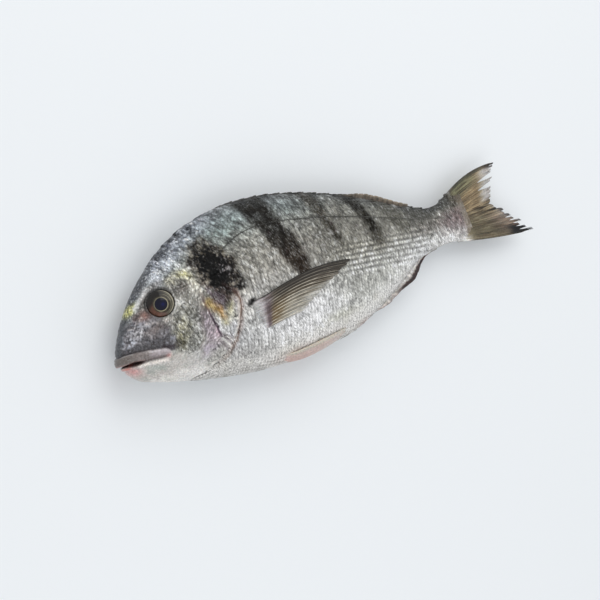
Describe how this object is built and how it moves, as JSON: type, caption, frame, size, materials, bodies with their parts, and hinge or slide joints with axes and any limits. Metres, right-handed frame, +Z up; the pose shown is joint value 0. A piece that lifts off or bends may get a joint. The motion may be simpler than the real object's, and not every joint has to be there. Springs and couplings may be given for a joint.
{
  "type": "whole raw fish",
  "caption": "Whole raw gilt-head sea bream lying on its right flank, uncut, with folded fins, spread forked tail, clear eyes and closed mouth.",
  "frame": {"origin": "middle of the bounding box's underside, on the surface that the fish lies on", "axes": "+X towards the tail, +Y towards the back, +Z up, out of the left flank"},
  "size_m": [0.2956, 0.0994, 0.0399],
  "materials": {
    "skin": "wet scaled skin: steel grey back, silver flank with dark bands, cream belly, gloss with a slight pearl sheen",
    "fin": "thin wet membrane, olive brown with pale rays and blackish tips",
    "eye": "clear wet eye: navy black pupil, thin gold ring, olive grey iris"
  },
  "bodies": {
    "root": {"body": "skin", "eye_left": "eye", "eye_right": "eye", "pectoral_fin_left": "fin", "pectoral_fin_right": "fin", "pelvic_fin_left": "fin", "pelvic_fin_right": "fin", "dorsal_fin": "fin", "anal_fin": "fin", "caudal_fin": "fin"}
  },
  "joints": []
}
